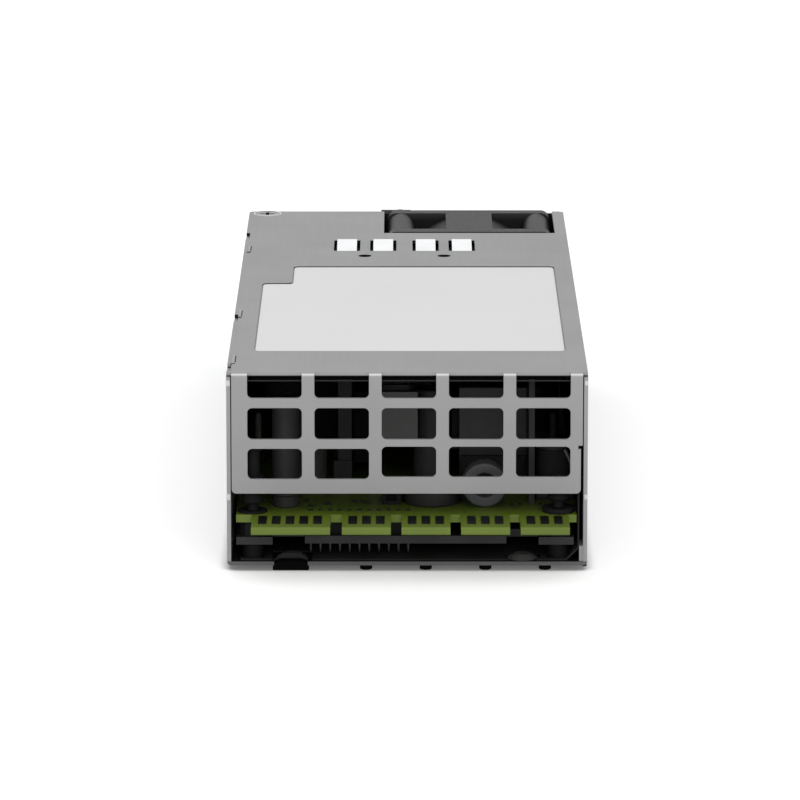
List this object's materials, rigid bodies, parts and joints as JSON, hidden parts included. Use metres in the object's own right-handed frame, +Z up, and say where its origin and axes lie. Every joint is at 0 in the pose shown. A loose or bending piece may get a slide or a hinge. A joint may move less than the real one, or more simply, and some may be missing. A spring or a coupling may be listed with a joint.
{
  "type": "hot swap server power supply",
  "caption": "Slim hot swap server power supply with a card edge and grille at the front, and a fan, handle, release latch and mains inlet at the rear.",
  "frame": {"origin": "bottom centre of the part's bounding box, level with the ends of the pressed feet under the floor", "axes": "+Y runs along the case from the card-edge end to the mains inlet end, +Z is up through the cover, +X is towards the fan's side seen from the card edge"},
  "size_m": [0.075, 0.2266, 0.0418],
  "materials": {
    "zinc_steel": "satin",
    "screw_steel": "satin",
    "bright_spring": "polished",
    "white_label": "matte",
    "black_rubber": "matte",
    "black_film": "matte",
    "board_green": "satin",
    "board_dark": "satin",
    "contact_metal": "satin",
    "black_plastic": "satin",
    "capacitor_can": "gloss",
    "ferrite": "matte",
    "copper": "satin",
    "heatsink_aluminium": "satin",
    "winding_tape": "satin",
    "capacitor_block": "satin",
    "ceramic": "satin",
    "fan_plastic": "satin",
    "green_plastic": "satin",
    "clear_lens": "gloss"
  },
  "bodies": {
    "case": {"board_spacers": "black_plastic", "board_washers": "screw_steel", "boost_choke": "ferrite", "bridge_heatsink": "heatsink_aluminium", "bridge_rectifier": "black_plastic", "bulk_capacitor": "capacitor_can", "capacitor_saddle": "black_plastic", "chassis_tray": "zinc_steel", "control_card": "board_dark", "control_chips": "black_plastic", "cover_screws": "screw_steel", "current_ring": "ferrite", "edge_contacts": "contact_metal", "fan_bearing": "screw_steel", "fan_frame": "fan_plastic", "fan_screws": "screw_steel", "fan_stator": "copper", "filter_capacitor": "capacitor_can", "filter_capacitors": "capacitor_block", "filter_chokes": "ferrite", "floor_liner": "black_film", "front_bumper": "black_rubber", "grounding_spring_left": "bright_spring", "grounding_spring_right": "bright_spring", "handle": "black_plastic", "header_pins": "contact_metal", "header_strip": "black_plastic", "inlet_blades": "contact_metal", "inlet_card": "board_dark", "inrush_relay": "black_plastic", "label_blank": "white_label", "latch_bracket": "zinc_steel", "latch_pin": "screw_steel", "latch_spring": "bright_spring", "line_fuse": "ceramic", "lower_board": "board_dark", "lower_standoffs": "screw_steel", "main_board": "board_green", "mains_inlet": "black_plastic", "output_bus_bars": "copper", "output_capacitors": "capacitor_can", "output_choke": "ferrite", "primary_heatsink": "heatsink_aluminium", "primary_transistors": "black_plastic", "rear_panel": "zinc_steel", "rectifier_transistors": "black_plastic", "secondary_heatsink": "heatsink_aluminium", "signal_socket": "black_plastic", "status_lens": "clear_lens", "support_posts": "screw_steel", "top_cover": "zinc_steel", "top_liner": "black_film", "transformer_core": "ferrite", "transformer_winding": "winding_tape"},
    "rotor": {"fan_rotor": "fan_plastic", "fan_shaft": "screw_steel"},
    "latch": {"latch_lever": "bright_spring", "latch_pad": "green_plastic"}
  },
  "joints": [
    {"name": "fan_spin", "type": "hinge", "parent": "case", "child": "rotor", "pos_m": [0.01528, 0.06966, 0.0221], "axis": [0, 1, 0], "continuous": true},
    {"name": "latch_swing", "type": "hinge", "parent": "case", "child": "latch", "pos_m": [-0.03335, 0.0368, 0.0171], "axis": [0, 0, -1], "range_deg": [0, 2.8], "stiffness_Nm_per_rad": 2, "springref_deg": -5.73, "deforming": ["latch_spring"]}
  ]
}
